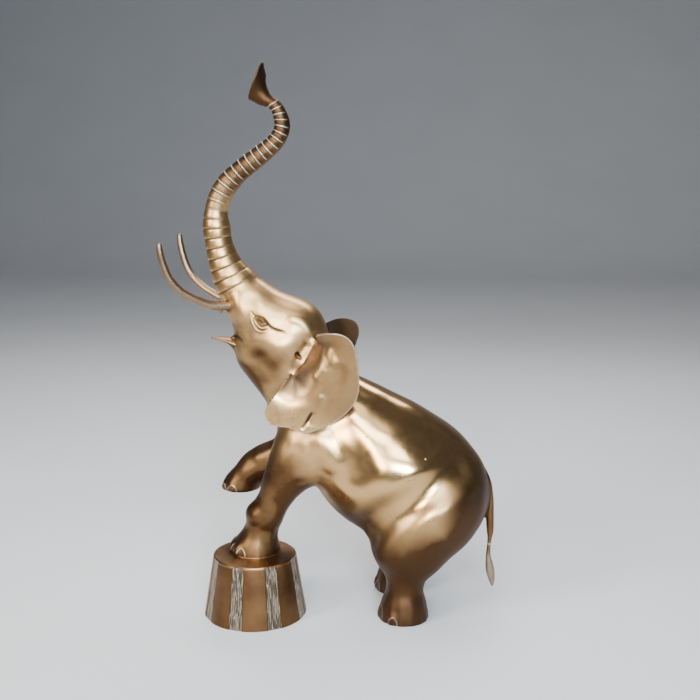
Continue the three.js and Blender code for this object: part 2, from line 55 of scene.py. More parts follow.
def back(co):
    return Vector(((co.x - drumAxis[0]) * 1000, (co.y - drumAxis[1]) * 1000 + drumSide, co.z * 1000))


def pick(*pieces):
    if bpy.context.object and bpy.context.object.mode != "OBJECT":
        bpy.ops.object.mode_set(mode="OBJECT")
    bpy.ops.object.select_all(action="DESELECT")
    for piece in pieces:
        piece.select_set(True)
    bpy.context.view_layer.objects.active = pieces[0]


def modify(piece, kind, **settings):
    pick(piece)
    bpy.ops.object.modifier_add(type=kind)
    modifier = piece.modifiers[-1]
    for key, value in settings.items():
        setattr(modifier, key, value)
    bpy.ops.object.modifier_apply(modifier=modifier.name)


def finished(piece, name, nodes):
    piece.name = name
    pick(piece)
    bpy.ops.object.transform_apply(location=True, rotation=True, scale=True)
    bpy.ops.object.shade_smooth()
    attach(piece, "root")
    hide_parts(*nodes)


def between(a, b, share):
    return a + (b - a) * share


# a smooth line through rows of numbers, even in the rows
def curveThrough(rows, place):
    place = min(max(place, 0.0), len(rows) - 1.0)
    i = min(int(place), len(rows) - 2)
    t = place - i
    p1, p2 = rows[i], rows[i + 1]
    p0 = rows[i - 1] if i > 0 else [2 * a - b for a, b in zip(p1, p2)]
    p3 = rows[i + 2] if i + 2 < len(rows) else [2 * b - a for a, b in zip(p1, p2)]
    found = []
    for a, b, c, d in zip(p0, p1, p2, p3):
        found.append(b + 0.5 * t * (c - a + t * (2 * a - 5 * b + 4 * c - d + t * (3 * (b - c) + d - a))))
    return found


def smoothStep(low, high, value):
    share = np.clip((value - low) / (high - low), 0, 1)
    return share * share * (3 - 2 * share)


def spotsOf(piece):
    spots = np.empty(len(piece.data.vertices) * 3)
    piece.data.vertices.foreach_get("co", spots)
    spots = spots.reshape(-1, 3) - np.array([drumAxis[0], drumAxis[1], 0])
    return spots * 1000 + np.array([0, drumSide, 0])


def normalsOf(piece):
    normals = np.empty(len(piece.data.vertices) * 3)
    piece.data.vertex_normals.foreach_get("vector", normals)
    return normals.reshape(-1, 3)


def putSpots(piece, spots):
    moved = (spots - np.array([0, drumSide, 0])) / 1000 + np.array([drumAxis[0], drumAxis[1], 0])
    piece.data.vertices.foreach_set("co", moved.ravel())
    piece.data.update()


# the finish on each point: bright crests, dark hollows, brown skin and high polish; the dark and brown channels also
# carry painted shade and painted reflection in places
def finishOf(piece):
    layer = piece.data.color_attributes.get("finish")
    if layer is None:
        layer = piece.data.color_attributes.new("finish", "FLOAT_COLOR", "POINT")
        putFinishAndShade(piece, np.zeros((len(piece.data.vertices), 4)))
    values = np.empty(len(piece.data.vertices) * 4)
    layer.data.foreach_get("color", values)
    return values.reshape(-1, 4)


def putFinishAndShade(piece, values):
    piece.data.color_attributes["finish"].data.foreach_set("color", np.clip(values, 0, 1).ravel())


# how far each point lies from a line, measured along the skin, and its share of the way along
def lineReach(spots, normals, line, far, depth=8):
    line = np.array([curveThrough(line, i / 4) for i in range(len(line) * 4 - 3)])
    lengths = np.linalg.norm(np.diff(line, axis=0), axis=1)
    reach, share = np.full(len(spots), 1e9), np.zeros(len(spots))
    low, high = line.min(axis=0) - far - depth, line.max(axis=0) + far + depth
    close = np.all((spots > low) & (spots < high), axis=1)
    spots, normals = spots[close], normals[close]
    best, way = reach[close], share[close]
    gone = 0.0
    for a, b, length in zip(line[:-1], line[1:], lengths):
        along = (b - a) / max(length, 1e-6)
        t = np.clip((spots - a) @ along, 0, length)
        away = spots - a - t[:, None] * along
        deep = np.einsum("ij,ij->i", away, normals)
        flat = np.linalg.norm(away - deep[:, None] * normals, axis=1) + np.maximum(np.abs(deep) - depth, 0) * 3
        nearer = flat < best
        best[nearer] = flat[nearer]
        way[nearer] = (gone + t[nearer]) / max(lengths.sum(), 1e-6)
        gone += length
    reach[close], share[close] = best, way
    return reach, share


# finer mesh under a set of strokes
def refine(piece, strokes, cuts, extra=1.2):
    spots, normals = spotsOf(piece), normalsOf(piece)
    near = np.zeros(len(spots), dtype=bool)
    for stroke in strokes:
        near |= lineReach(spots, normals, stroke["line"], stroke["wide"] + extra)[0] < stroke["wide"] + extra
    pick(piece)
    bpy.ops.object.duplicate()
    smooth = bpy.context.object
    modify(smooth, "SUBSURF", levels=1)
    pick(piece)
    bpy.ops.object.mode_set(mode="EDIT")
    bpy.ops.mesh.select_mode(type="VERT")
    bpy.ops.mesh.select_all(action="DESELECT")
    bpy.ops.object.mode_set(mode="OBJECT")
    piece.data.vertices.foreach_set("select", near)
    bpy.ops.object.mode_set(mode="EDIT")
    bpy.ops.mesh.select_mode(type="FACE")
    bpy.ops.mesh.subdivide(number_cuts=cuts)
    bpy.ops.object.mode_set(mode="OBJECT")
    modify(piece, "SHRINKWRAP", target=smooth, wrap_method="NEAREST_SURFACEPOINT")
    bpy.data.objects.remove(smooth)


# strokes raise or sink the skin and leave bright, dark or brown metal behind
def carve(piece, strokes):
    spots, normals, finish = spotsOf(piece), normalsOf(piece), finishOf(piece)
    moved = spots.copy()
    for stroke in strokes:
        reach, share = lineReach(spots, normals, stroke["line"], stroke["wide"], 8 + stroke["wide"])
        fade = np.ones(len(spots))
        if stroke["wide"] < 3 and stroke.get("taper", True):
            fade = smoothStep(0, 0.2, share) * (1 - smoothStep(0.8, 1, share)) * 0.85 + 0.15
        near = np.clip(1 - reach / stroke["wide"], 0, 1)
        push = near ** 3 * (near * (6 * near - 15) + 10) * fade
        moved += normals * (push * stroke["high"])[:, None]
        for channel, key in enumerate(("crest", "dark", "brown")):
            if key in stroke:
                mark = (1 - smoothStep(0, stroke["wide"] * stroke.get("spread", 0.8), reach)) * fade
                finish[:, channel] = np.maximum(finish[:, channel], mark * stroke[key])
    putSpots(piece, moved)
    putFinishAndShade(piece, finish)


# a rod drawn out ring by ring: rows are x, z, half across, half wide, tilt in radians
def drawOut(rows, sides, y=0.0, capped=True):
    x, z, across, wide, tilt = rows[0]
    if bpy.context.object and bpy.context.object.mode != "OBJECT":
        bpy.ops.object.mode_set(mode="OBJECT")
    bpy.ops.object.select_all(action="DESELECT")
    bpy.ops.mesh.primitive_circle_add(vertices=sides, radius=0.001, fill_type="NGON" if capped else "NOTHING",
                                      location=at(x, y, z))
    rod = bpy.context.object
    bpy.ops.object.transform_apply(location=True, rotation=True, scale=True)
    bpy.ops.object.mode_set(mode="EDIT")
    bpy.ops.mesh.select_mode(type="VERT")
    bpy.ops.mesh.select_all(action="SELECT")
    bpy.ops.transform.resize(value=(across, wide, 1), center_override=at(x, y, z))
    turnSelected(tilt, at(x, y, z))
    for row in rows[1:]:
        centre = at(row[0], y, row[1])
        bpy.ops.mesh.extrude_region_move(TRANSFORM_OT_translate={"value": centre - at(x, y, z)})
        turnSelected(row[4] - tilt, centre)
        bpy.ops.transform.resize(value=(row[2] / across, row[3] / wide, row[2] / across), center_override=centre)
        x, z, across, wide, tilt = row
    if capped:
        bpy.ops.mesh.edge_face_add()
    bpy.ops.mesh.select_all(action="SELECT")
    bpy.ops.mesh.normals_make_consistent(inside=False)
    bpy.ops.object.mode_set(mode="OBJECT")
    return rod


# turns what is selected about the y axis, from +x towards +z
def turnSelected(angle, centre):
    if abs(angle) > 1e-6:
        bpy.ops.transform.rotate(value=angle, orient_axis="Y", orient_type="GLOBAL", center_override=centre)


# ears: outline in the side view from the top of the root round the back to its foot
ear = {
    "rootTop": (45.5, 206.5), "rootFoot": (34.5, 189.5),
    "outline": [(47.5, 211), (56, 213.5), (65, 213.5), (72, 209.5), (76, 201), (77.7, 188), (78, 177),
                (75.3, 166.5), (68, 157), (58, 149.5), (45, 144), (38, 143.3), (29, 146.8), (21, 147.8),
                (15, 149.5), (11.5, 158), (17, 166), (25, 172.5), (29.5, 180), (32, 186)],
    "rootSide": 24, "spread": 17, "cadReach": 14, "slope": 0.07, "thick": 2.4, "edge": 0.8, "start": 0.02,
    "columns": 200, "rows": 56, "sunk": 4, "rightPull": 9, "rightDrop": 2,
    # the dish along the root and the front edge, then the flat of the ear, bent back towards the rim
    "dishLine": [(45.5, 206.5), (34.5, 189.5), (30, 182)], "dishWide": 13.5, "dishDeep": 14, "bend": 4, "roll": 2.6,
    "tuck": 3.5,
}


# how far out the solid's ear stands
def earSide(x, z):
    top, foot = Vector(ear["rootTop"]), Vector(ear["rootFoot"])
    root = foot - top
    share = min(max((Vector((x, z)) - top).dot(root) / root.length_squared, 0), 1)
    reach = (Vector((x, z)) - top - root * share).length
    turn = math.atan2(z - foot.y, x - foot.x)
    ruffle = (reach / 42) ** 2 * math.sin(5 * turn)
    return ear["rootSide"] + ear["spread"] * (1 - math.exp(-reach / ear["cadReach"])) + ear["slope"] * reach + ruffle


# how far out the finished ear stands, and how much of the way out of the dish
def earDish(x, z):
    reach = 1e9
    for a, b in zip(ear["dishLine"][:-1], ear["dishLine"][1:]):
        start, along = Vector(a), Vector(b) - Vector(a)
        share = min(max((Vector((x, z)) - start).dot(along) / along.length_squared, 0), 1)
        reach = min(reach, (Vector((x, z)) - start - along * share).length)
    over = ear["bend"] * (reach / ear["dishWide"] - 1)
    out = reach / ear["dishWide"] - math.log1p(math.exp(min(over, 30))) / ear["bend"]
    rolled = max(0, (x - 50) * 0.75 - (z - 165) * 0.65 - 2) / 16
    y = ear["rootSide"] + ear["dishDeep"] * out + ear["slope"] * reach - ear["roll"] * rolled ** 2
    y -= ear["tuck"] * (1 - float(smoothStep(0, 4.5, reach)))
    return y, out


# one ear as a sheet: the solid's, for cutting it off, or the finished one with its dish
def earSheet(side, start, dished):
    outline = []
    for x, z in ear["outline"]:
        behind = max(0, (x - ear["rootTop"][0]) / (78 - ear["rootTop"][0]))
        low = min(max((ear["rootTop"][1] - z) / ear["spread"], 0), 1)
        pull = ear["rightPull"] * behind ** 2 * low if side > 0 else 0
        outline.append((x - pull, z - (ear["rightDrop"] if side > 0 else 0)))
    bpy.ops.object.select_all(action="DESELECT")
    bpy.ops.mesh.primitive_grid_add(x_subdivisions=ear["columns"], y_subdivisions=ear["rows"], size=1)
    sheet = bpy.context.object
    marks = []
    for vertex in sheet.data.vertices:
        u, v = vertex.co.x + 0.5, vertex.co.y + 0.5
        rimX, rimZ = curveThrough(outline, u * (len(outline) - 1))
        rootX = between(ear["rootTop"][0], ear["rootFoot"][0], u)
        rootZ = between(ear["rootTop"][1], ear["rootFoot"][1], u)
        share = between(start, 1, v)
        x, z = between(rootX, rimX, share), between(rootZ, rimZ, share)
        y, out = earDish(x, z) if dished else (earSide(x, z), 1)
        y -= ear["sunk"] * (1 - float(smoothStep(0, 0.3, share)))
        y += 0.25 * noise.noise(Vector((x / 16, side * 3, z / 16))) + 0.06 * noise.noise(Vector((x / 7, side, z / 7)))
        vertex.co = at(x, side * y, z)
        edge = float(smoothStep(0.975, 0.995, share)) * 0.4 if u < 0.8 else 0
        # brown over the ear except its lower front part, which stays pale gold as a painted reflection of the pale
        # floor
        pale = float(smoothStep(-8, 10, -(x - 38) * 0.6 - (z - 165) * 0.8))
        # the dish along the root is browner with a touch of silver: partly patina kept in the hollow, partly a painted
        # reflection of the head
        inside = float(smoothStep(0.9, 0.4, out)) if dished else 0
        marks.append((edge + 0.12 * inside, 0, 0.04 + 0.5 * (1 - pale) + 0.22 * inside, 0.45))
    finishOf(sheet)
    putFinishAndShade(sheet, np.array(marks))
    pick(sheet)
    bpy.ops.object.mode_set(mode="EDIT")
    bpy.ops.mesh.select_all(action="SELECT")
    bpy.ops.mesh.remove_doubles(threshold=0.00002)
    bpy.ops.mesh.normals_make_consistent(inside=False)
    bpy.ops.object.mode_set(mode="OBJECT")
    return sheet


# trunk: x, z under the trunk, x, z along its top, root to mouth
trunk = {
    "edges": [(-22, 226, 9, 243), (-27, 235, 1.1, 250.5), (-31.9, 251.5, -9.3, 260.5), (-34.9, 269, -15.3, 273),
              (-36.7, 283, -16.8, 284.5), (-35.2, 296, -18.3, 294), (-31.2, 309, -15.8, 302.5),
              (-24.2, 320, -11.3, 310), (-14.7, 328.5, -4.8, 317.5), (-4.7, 336, 4.2, 324.5),
              (5.8, 343.5, 14.7, 333.5), (11.8, 348.5, 21.7, 341), (15.3, 354, 26.2, 350),
              (15.3, 359.5, 26.5, 359.5), (12.5, 366.5, 21, 371), (5, 369.5, 14.5, 376), (0.8, 371.7, 11.2, 381),
              (-0.8, 372.5, 9.9, 388), (-2.2, 373, 8.6, 400)],
    "flareRow": 14, "rings": 27, "gapRoot": 7.6, "gapTip": 3.9, "sides": 72, "mouthWide": 0.68, "cutRow": 0.85,
    # offset from the ring's line in mm, how deep it is cut low on the trunk and high on it, crest, dark; the dark fills
    # the cut grooves low down, and on the raised rings lies on one side of each ridge, patina in that hollow and
    # painted shade
    "profile": [(-1.5, 0.0, 0.2, 0, 0.1), (-0.75, 0.06, 0.26, 0, 0.45), (-0.4, 0.3, 0.05, 0.2, 0.6),
                (-0.12, 0.6, -0.28, 1, 0.9), (0.16, 0.6, -0.3, 1, 0.9), (0.42, 0.25, -0.02, 0.2, 0.6),
                (0.85, 0.04, 0.18, 0, 0.75), (1.5, -0.05, 0.12, 0, 0.7), (2.4, -0.06, 0.05, 0, 0.35)],
}


def trunkRow(place):
    ux, uz, tx, tz = curveThrough(trunk["edges"], place)
    half = math.hypot(tx - ux, tz - uz) / 2
    flare = max(0, (place - trunk["flareRow"]) / (len(trunk["edges"]) - 1 - trunk["flareRow"]))
    wide = half * between(1, trunk["mouthWide"], flare)
    return [(ux + tx) / 2, (uz + tz) / 2, half, wide, math.atan2(tz - uz, tx - ux)]


# a section drawn in or let out, most under the trunk and not at all along its top, where the real rings fade
def pinched(row, depth):
    x, z, half, wide, tilt = row
    shift = depth * 0.75
    return [x + shift * math.cos(tilt), z + shift * math.sin(tilt), half - depth, wide - depth, tilt]


# rows for drawing out, and the finish of each: crest, dark, how far it is ringed, brown
def trunkRows():
    top = len(trunk["edges"]) - 1
    steps = 900
    places = [i * top / steps for i in range(steps + 1)]
    line = [trunkRow(place) for place in places]
    lengths = [0.0]
    for a, b in zip(line[:-1], line[1:]):
        lengths.append(lengths[-1] + math.hypot(b[0] - a[0], b[1] - a[1]))
    along = float(np.interp(1.0, places, lengths))
    ringEnd = float(np.interp(trunk["flareRow"] + 0.35, places, lengths))
    rows, marks = [], []
    for i in range(trunk["rings"]):
        share = i / (trunk["rings"] - 1)
        gap = between(trunk["gapRoot"], trunk["gapTip"], share)
        raised = float(smoothStep(6, 10, i))
        for offset, cut, ridge, crest, dark in trunk["profile"]:
            distance = along + offset * min(1, gap / 4.6)
            if distance > ringEnd:
                continue
            row = trunkRow(float(np.interp(distance, lengths, places)))
            rows.append(pinched(row, between(cut, ridge, raised)))
            # dark in the cut grooves low on the trunk; higher up, dark on one side of each raised ridge only: patina in
            # that hollow and painted shade beside the ridge
            ringDarkAndShade = between(dark if cut > 0.2 else 0, dark * 0.85 if offset > 0.5 else 0.05, raised)
            brown = between(0.04, 0.9, float(smoothStep(6, 13, i)))
            marks.append((crest * raised * 0.85, ringDarkAndShade, 1 + raised, brown))
        along += gap
    for i in range(1, 19):
        share = i / 18
        rows.append(trunkRow(between(trunk["flareRow"] + 0.4, top, share)))
        marks.append((0, 0.3, 0, 1))
    mouth = rows[-1]
    for scale, inward in ((0.95, -0.5), (0.86, -0.1), (0.76, 1.6), (0.6, 3.6), (0.4, 5.6), (0.15, 6.6)):
        rows.append([mouth[0] + inward * math.sin(mouth[4]), mouth[1] - inward * math.cos(mouth[4]),
                     mouth[2] * scale, mouth[3] * scale, mouth[4]])
        marks.append((0.25 if scale > 0.9 else 0, 0.2 if scale > 0.8 else 0.7, 0, 0.9))
    return rows, marks


def markTrunk(piece, rows, marks):
    spots, finish = spotsOf(piece), finishOf(piece)
    finish[:] = 0
    sides = trunk["sides"]
    for i, ((x, z, half, wide, tilt), (crest, dark, ringed, brown)) in enumerate(zip(rows, marks)):
        part = slice(i * sides, (i + 1) * sides)
        up = ((spots[part, 0] - x) * math.cos(tilt) + (spots[part, 2] - z) * math.sin(tilt)) / half
        fadeEnd = between(0.75, 0.97, ringed - 1)
        fade = 1 - smoothStep(fadeEnd - 0.4, fadeEnd, up) if ringed else np.ones(sides)
        seam = np.exp(-((up + 0.66) / 0.05) ** 2) * 0.55 * (1 - smoothStep(0.3, 0.55, i / len(rows))) * min(ringed, 1)
        finish[part, 0] = crest * fade
        finish[part, 1] = np.maximum(dark * fade, seam)
        finish[part, 2] = brown
    putFinishAndShade(piece, finish)


# body: a copy of the solid, its ears, lip, tail and trunk taken off, made fine and smooth
body = {
    "voxel": 1.4, "rounds": 26, "smooth": 0.5, "unsmooth": -0.53, "broad": 60, "drumSole": 46.1, "drawDown": 8,
    "earStart": 0.2, "earCut": 8.5, "earVoxel": 1.2,
    "lipBox": ((-45, -20, 196), (-27.5, 20, 210)), "tailBox": ((155, -12, 5), (190, 12, 66)),
}


def makeBody():
    piece = bpy.data.objects.new("elephantBody", cadElephant.data.copy())
    bpy.context.scene.collection.objects.link(piece)
    pick(piece)
    bpy.ops.object.mode_set(mode="EDIT")
    bpy.ops.mesh.select_all(action="SELECT")
    bpy.ops.mesh.remove_doubles(threshold=0.000002)
    bpy.ops.object.mode_set(mode="OBJECT")
    for side in (-1, 1):
        cutter = earSheet(side, body["earStart"], False)
        modify(cutter, "SOLIDIFY", thickness=body["earCut"] / 1000, offset=0)
        modify(cutter, "REMESH", mode="VOXEL", voxel_size=body["earVoxel"] / 1000)
        modify(piece, "BOOLEAN", operation="DIFFERENCE", object=cutter, solver="MANIFOLD")
        bpy.data.objects.remove(cutter)
    for low, high in (body["lipBox"], body["tailBox"]):
        centre = (at(*low) + at(*high)) / 2
        bpy.ops.object.select_all(action="DESELECT")
        bpy.ops.mesh.primitive_cube_add(size=1, location=centre)
        cutter = bpy.context.object
        cutter.scale = at(*high) - at(*low)
        bpy.ops.object.transform_apply(location=True, rotation=True, scale=True)
        modify(piece, "BOOLEAN", operation="DIFFERENCE", object=cutter, solver="MANIFOLD")
        bpy.data.objects.remove(cutter)
    # a stump of trunk stays on until the skin is smooth
    cutTrunk(piece, trunk["cutRow"] + 2.2, True)
    # soles are drawn down, so that their rims stay sharp when they are cut off again
    pick(piece)
    bpy.ops.object.mode_set(mode="EDIT")
    bpy.ops.mesh.select_mode(type="FACE")
    bpy.ops.mesh.select_all(action="DESELECT")
    bpy.ops.object.mode_set(mode="OBJECT")
    for face in piece.data.polygons:
        spot = face.center.z * 1000
        face.select = face.normal.z < -0.99 and (spot < 0.3 or abs(spot - body["drumSole"]) < 0.3)
    bpy.ops.object.mode_set(mode="EDIT")
    bpy.ops.mesh.extrude_region_move(TRANSFORM_OT_translate={"value": (0, 0, -body["drawDown"] / 1000)})
    bpy.ops.object.mode_set(mode="OBJECT")
    modify(piece, "REMESH", mode="VOXEL", voxel_size=body["voxel"] / 1000)
    for i in range(body["rounds"]):
        modify(piece, "SMOOTH", factor=body["smooth"], iterations=1)
        modify(piece, "SMOOTH", factor=body["unsmooth"], iterations=1)
    evenOut(piece)
    pick(piece)
    bpy.ops.object.mode_set(mode="EDIT")
    bpy.ops.mesh.select_all(action="SELECT")
    bpy.ops.mesh.bisect(plane_co=(0, 0, 0.00005), plane_no=(0, 0, 1), use_fill=True, clear_inner=True)
    bpy.ops.object.mode_set(mode="OBJECT")
    cutTrunk(piece, trunk["cutRow"], False)
    return piece


# broad forms are rubbed down most, feet, face and the joint on the drum least
def evenOut(piece):
    spots = spotsOf(piece)
    torso = smoothStep(42, 62, spots[:, 0]) * smoothStep(55, 85, spots[:, 2])
    head = smoothStep(150, 180, spots[:, 2]) * 0.55
    weights = np.maximum(np.maximum(torso, head), 0.3 * smoothStep(14, 30, spots[:, 2]))
    fromJoint = np.abs(spots[:, 2] - body["drumSole"]) * 8 + np.maximum(0, spots[:, 0] - 30) * 9
    weights *= 1 - 0.9 * smoothStep(66, 62, fromJoint)
    group = piece.vertex_groups.new(name="broad")
    for i, weight in enumerate(weights):
        group.add([i], float(weight), "REPLACE")
    modify(piece, "SMOOTH", factor=0.5, iterations=body["broad"], vertex_group="broad")
    piece.vertex_groups.clear()


def cutTrunk(piece, place, closed):
    x, z, half, wide, tilt = trunkRow(place)
    pick(piece)
    bpy.ops.object.mode_set(mode="EDIT")
    bpy.ops.mesh.select_all(action="SELECT")
    bpy.ops.mesh.bisect(plane_co=at(x, 0, z), plane_no=(-math.sin(tilt), 0, math.cos(tilt)), use_fill=closed,
                        clear_outer=True)
    bpy.ops.object.mode_set(mode="OBJECT")


bodyPiece = makeBody()
print("body", len(bodyPiece.data.polygons))

ringRows, ringMarks = trunkRows()
trunkPiece = drawOut(ringRows, trunk["sides"], capped=False)
markTrunk(trunkPiece, ringRows, ringMarks)
finishOf(bodyPiece)
pick(bodyPiece, trunkPiece)
bpy.ops.object.join()
bpy.ops.object.mode_set(mode="EDIT")
bpy.ops.mesh.select_mode(type="EDGE")
bpy.ops.mesh.select_all(action="DESELECT")
bpy.ops.mesh.select_non_manifold(extend=False, use_wire=False, use_boundary=True, use_multi_face=False,
                                 use_non_contiguous=False, use_verts=False)
bpy.ops.object.mode_set(mode="OBJECT")
rootRow = trunkRow(trunk["cutRow"])
for edge in bodyPiece.data.edges:
    spot = back((bodyPiece.data.vertices[edge.vertices[0]].co + bodyPiece.data.vertices[edge.vertices[1]].co) / 2)
    if edge.select and math.hypot(spot.x - rootRow[0], spot.z - rootRow[1]) > rootRow[2] + 8:
        edge.select = False
bpy.ops.object.mode_set(mode="EDIT")
bpy.ops.mesh.bridge_edge_loops()
bpy.ops.mesh.select_mode(type="VERT")
bpy.ops.mesh.select_all(action="DESELECT")
bpy.ops.object.mode_set(mode="OBJECT")
for vertex in bodyPiece.data.vertices:
    spot = back(vertex.co)
    rise = -(spot.x - rootRow[0]) * math.sin(rootRow[4]) + (spot.z - rootRow[1]) * math.cos(rootRow[4])
    vertex.select = -6 < rise < 3.2 and abs(spot.y) < 30 and spot.z > 220
bpy.ops.object.mode_set(mode="EDIT")
bpy.ops.mesh.vertices_smooth(factor=0.5, repeat=12)
bpy.ops.mesh.select_all(action="SELECT")
bpy.ops.mesh.normals_make_consistent(inside=False)
bpy.ops.object.mode_set(mode="OBJECT")
print("trunk", len(bodyPiece.data.polygons))

# broad forms of the left side, as the photograph shows them
forms = [
    {"line": [(4.7, -21.9, 191.3), (7.3, -20.8, 182.3), (11.5, -20.4, 174.9)], "wide": 17, "high": -2.2},
    {"line": [(16, -24, 198), (8, -23, 202)], "wide": 17, "high": 1.7},
    {"line": [(-9.4, -18, 234), (-8.7, -19.4, 223.3), (-7.9, -16.4, 212), (-5.7, -17.6, 205)], "wide": 8, "high": 0.9},
    {"line": [(-0.6, -19.7, 234), (-0.4, -21.4, 229.4), (0.4, -22.4, 224.6)], "wide": 9, "high": -0.9},
    {"line": [(30, -22, 222), (36, -20.6, 220), (40, -20.5, 216), (42.5, -20.8, 212)], "wide": 6, "high": 1.1},
    {"line": [(26, -24, 215), (33, -23, 211), (37, -22, 205)], "wide": 16, "high": -1.7},
    {"line": [(63, -37.3, 145), (68, -40.3, 136), (73, -42.6, 126), (77, -43.7, 115)], "wide": 21, "high": -2.2},
    {"line": [(51.6, -37.3, 137), (55.2, -38.5, 128), (58, -38.6, 120)], "wide": 12, "high": 1.6},
    {"line": [(80, -43.6, 102), (96.6, -46, 110), (114, -44, 119)], "wide": 24, "high": 1.6},
    {"line": [(84, -36, 70), (96.7, -44.5, 83.7), (106, -47.5, 90), (122.7, -48, 101), (139.4, -42, 110),
              (149, -34, 118)], "wide": 20, "high": -4.2},
    {"line": [(102, -46, 55), (114.6, -48.5, 65), (132, -48, 75.5), (144, -45.5, 89), (147, -42, 100)], "wide": 22,
     "high": 2.2},
    {"line": [(-4, -22, 77.5), (0, -26.5, 76.5)], "wide": 10, "high": 1.7},
    {"line": [(-27.5, 0, 200.5), (-20, 0, 197.5)], "wide": 7, "high": -1.7},
    {"line": [(-1.2, 10.8, 110), (6.5, 10.4, 113.6)], "wide": 7, "high": 1},
    {"line": [(40, -22.8, 201.4), (35, -24, 195), (32, -24.2, 189.3), (30.3, -33, 183.2)], "wide": 4.5, "high": -1.2,
     "dark": 0.45},
]
upperLid = [(0, -22.4, 226), (2.1, -22.5, 223.6), (5.3, -22.8, 223), (8.7, -23.5, 222.4), (11.2, -24, 220),
            (12.9, -24, 217.2), (15.4, -24.2, 215.2), (19.4, -25.2, 213.8), (23.4, -25.8, 212.9), (25.2, -25.9, 210.8)]
lowerLid = [(2.5, -22.6, 222.6), (3.2, -22.9, 221.1), (4.6, -23.4, 218.5), (7.3, -23.5, 215.9), (10.4, -23.8, 216.3),
            (12.5, -24, 217.4)]
eyeBag = [(0.7, -22.4, 223.4), (1.9, -22.6, 219.3), (4.1, -22.7, 215.2), (7.7, -23.3, 213.1), (13, -24.3, 214.1)]
lines = [
    {"line": [(6.6, -24, 220.9), (8.4, -24.4, 219.5)], "wide": 3.2, "high": 0.8, "brown": 1, "spread": 1},
    {"line": [(7.6, -24, 220.5), (8, -24.4, 220.1)], "wide": 1.6, "high": -0.15, "dark": 0.9, "taper": False},
    {"line": upperLid, "wide": 1.3, "high": -0.9, "dark": 1, "spread": 1},
    {"line": lowerLid, "wide": 1.1, "high": -0.6, "dark": 0.95, "spread": 1, "taper": False},
    {"line": [(x - 0.7, y, z - 0.8) for x, y, z in lowerLid[:4]], "wide": 1.3, "high": 0.5},
    {"line": eyeBag, "wide": 1, "high": -0.55, "dark": 0.85, "spread": 1},
    {"line": [(x - 0.8, y, z - 1.2) for x, y, z in eyeBag], "wide": 1.4, "high": 0.45},
    {"line": [(-17.4, -3.6, 203.5), (-12.9, -9, 205.3), (-9, -14.6, 205.7), (-6, -17, 204)], "wide": 1.5, "high": -1.3,
     "dark": 0.95},
    {"line": [(33.4, -24.2, 195.6), (33.9, -24.2, 194.4)], "wide": 2.6, "high": -2.2, "dark": 1, "taper": False},
    {"line": [(-25.5, -9.5, 235), (-22.5, -10.5, 228.5), (-20, -8.6, 223.4)], "wide": 1.4, "high": -0.9, "dark": 1},
]
pits = [(117.6, -45.7, 112), (113.4, -46, 111.2), (83, -42, 142), (126, -44, 128), (62, -36, 168)]
for x, y, z in pits:
    lines.append({"line": [(x, y, z), (x + 0.3, y, z + 0.2)], "wide": 0.8, "high": -0.45, "dark": 0.8, "taper": False})

# nails: foot centre x, y, sole height, sole radius and taper, then angle, half width in degrees and height of each
feet = [
    (110.3, -26.3, 0.3, 18.6, 0.12, [(152, 12, 8), (199, 13, 11.6), (245, 11, 6.2)]),
    (105.3, 28.0, 0.3, 18.6, 0.12, [(110, 11, 7), (157, 13, 10), (205, 13, 9)]),
    (-0.4, -15.3, 46.4, 17.8, 0.16, [(120, 11, 6), (150, 11, 7), (180, 11, 7), (211, 9, 7.2), (241, 12, 5.4)]),
    (-16.2, 23.3, 81.2, 14.5, 0.1, [(120, 12, 5), (150, 12, 6), (182, 12, 6), (215, 12, 5), (249, 15, 5.4)]),
]
nailLines = []
for x, y, sole, radius, taper, nails in feet:
    for angle, half, high in nails:
        arch = []
        for turn, up in ((-1, 0), (-0.8, 0.5), (-0.35, 0.9), (0.1, 1), (0.55, 0.8), (0.9, 0.45), (1, 0)):
            bearing = math.radians(angle + half * turn)
            reach = radius - taper * high * up
            arch.append((x + reach * math.cos(bearing), y + reach * math.sin(bearing), sole + high * up))
        nailLines.append({"line": arch, "wide": 0.7, "high": 0.35, "crest": 0.42, "taper": False, "spread": 0.9})


def mirrored(strokes):
    return [{**stroke, "line": [(x, -y, z) for x, y, z in stroke["line"]]} for stroke in strokes]


# the first forms and lines of each list are on both sides
bothSides = {"forms": 11, "lines": 8}
carve(bodyPiece, forms + mirrored(forms[:bothSides["forms"]]))
fine = lines + mirrored(lines[:bothSides["lines"]]) + nailLines
refine(bodyPiece, fine, 2)
carve(bodyPiece, fine)

# brown skin on legs and chest, with painted shade in brown on the undersides, under the jaw and low on the rump; dark
# on the hind legs and painted shade on the rump; dark joint round the foot on the drum
patinaAndShade = {"hindLegs": 0.97, "foreLegs": 0.86, "under": 0.7, "jaw": 0.75, "fore": 0.86, "head": 0.1, "hindDark": 0.3,
          "jointHeight": 45.9, "jointHalf": 0.9, "jointDark": 0.9}
spots, normals, finish = spotsOf(bodyPiece), normalsOf(bodyPiece), finishOf(bodyPiece)
legs = smoothStep(95, 52, spots[:, 2]) * np.where(spots[:, 0] > 60, patinaAndShade["hindLegs"], patinaAndShade["foreLegs"])
# painted shade: faces turned downwards are made brown
under = smoothStep(-0.1, -0.7, normals[:, 2]) * patinaAndShade["under"]
# painted shade: the lower rear of the rump is made brown, standing in for a dark reflection
paintedRumpShade = smoothStep(122, 152, spots[:, 0]) * smoothStep(134, 92, spots[:, 2])
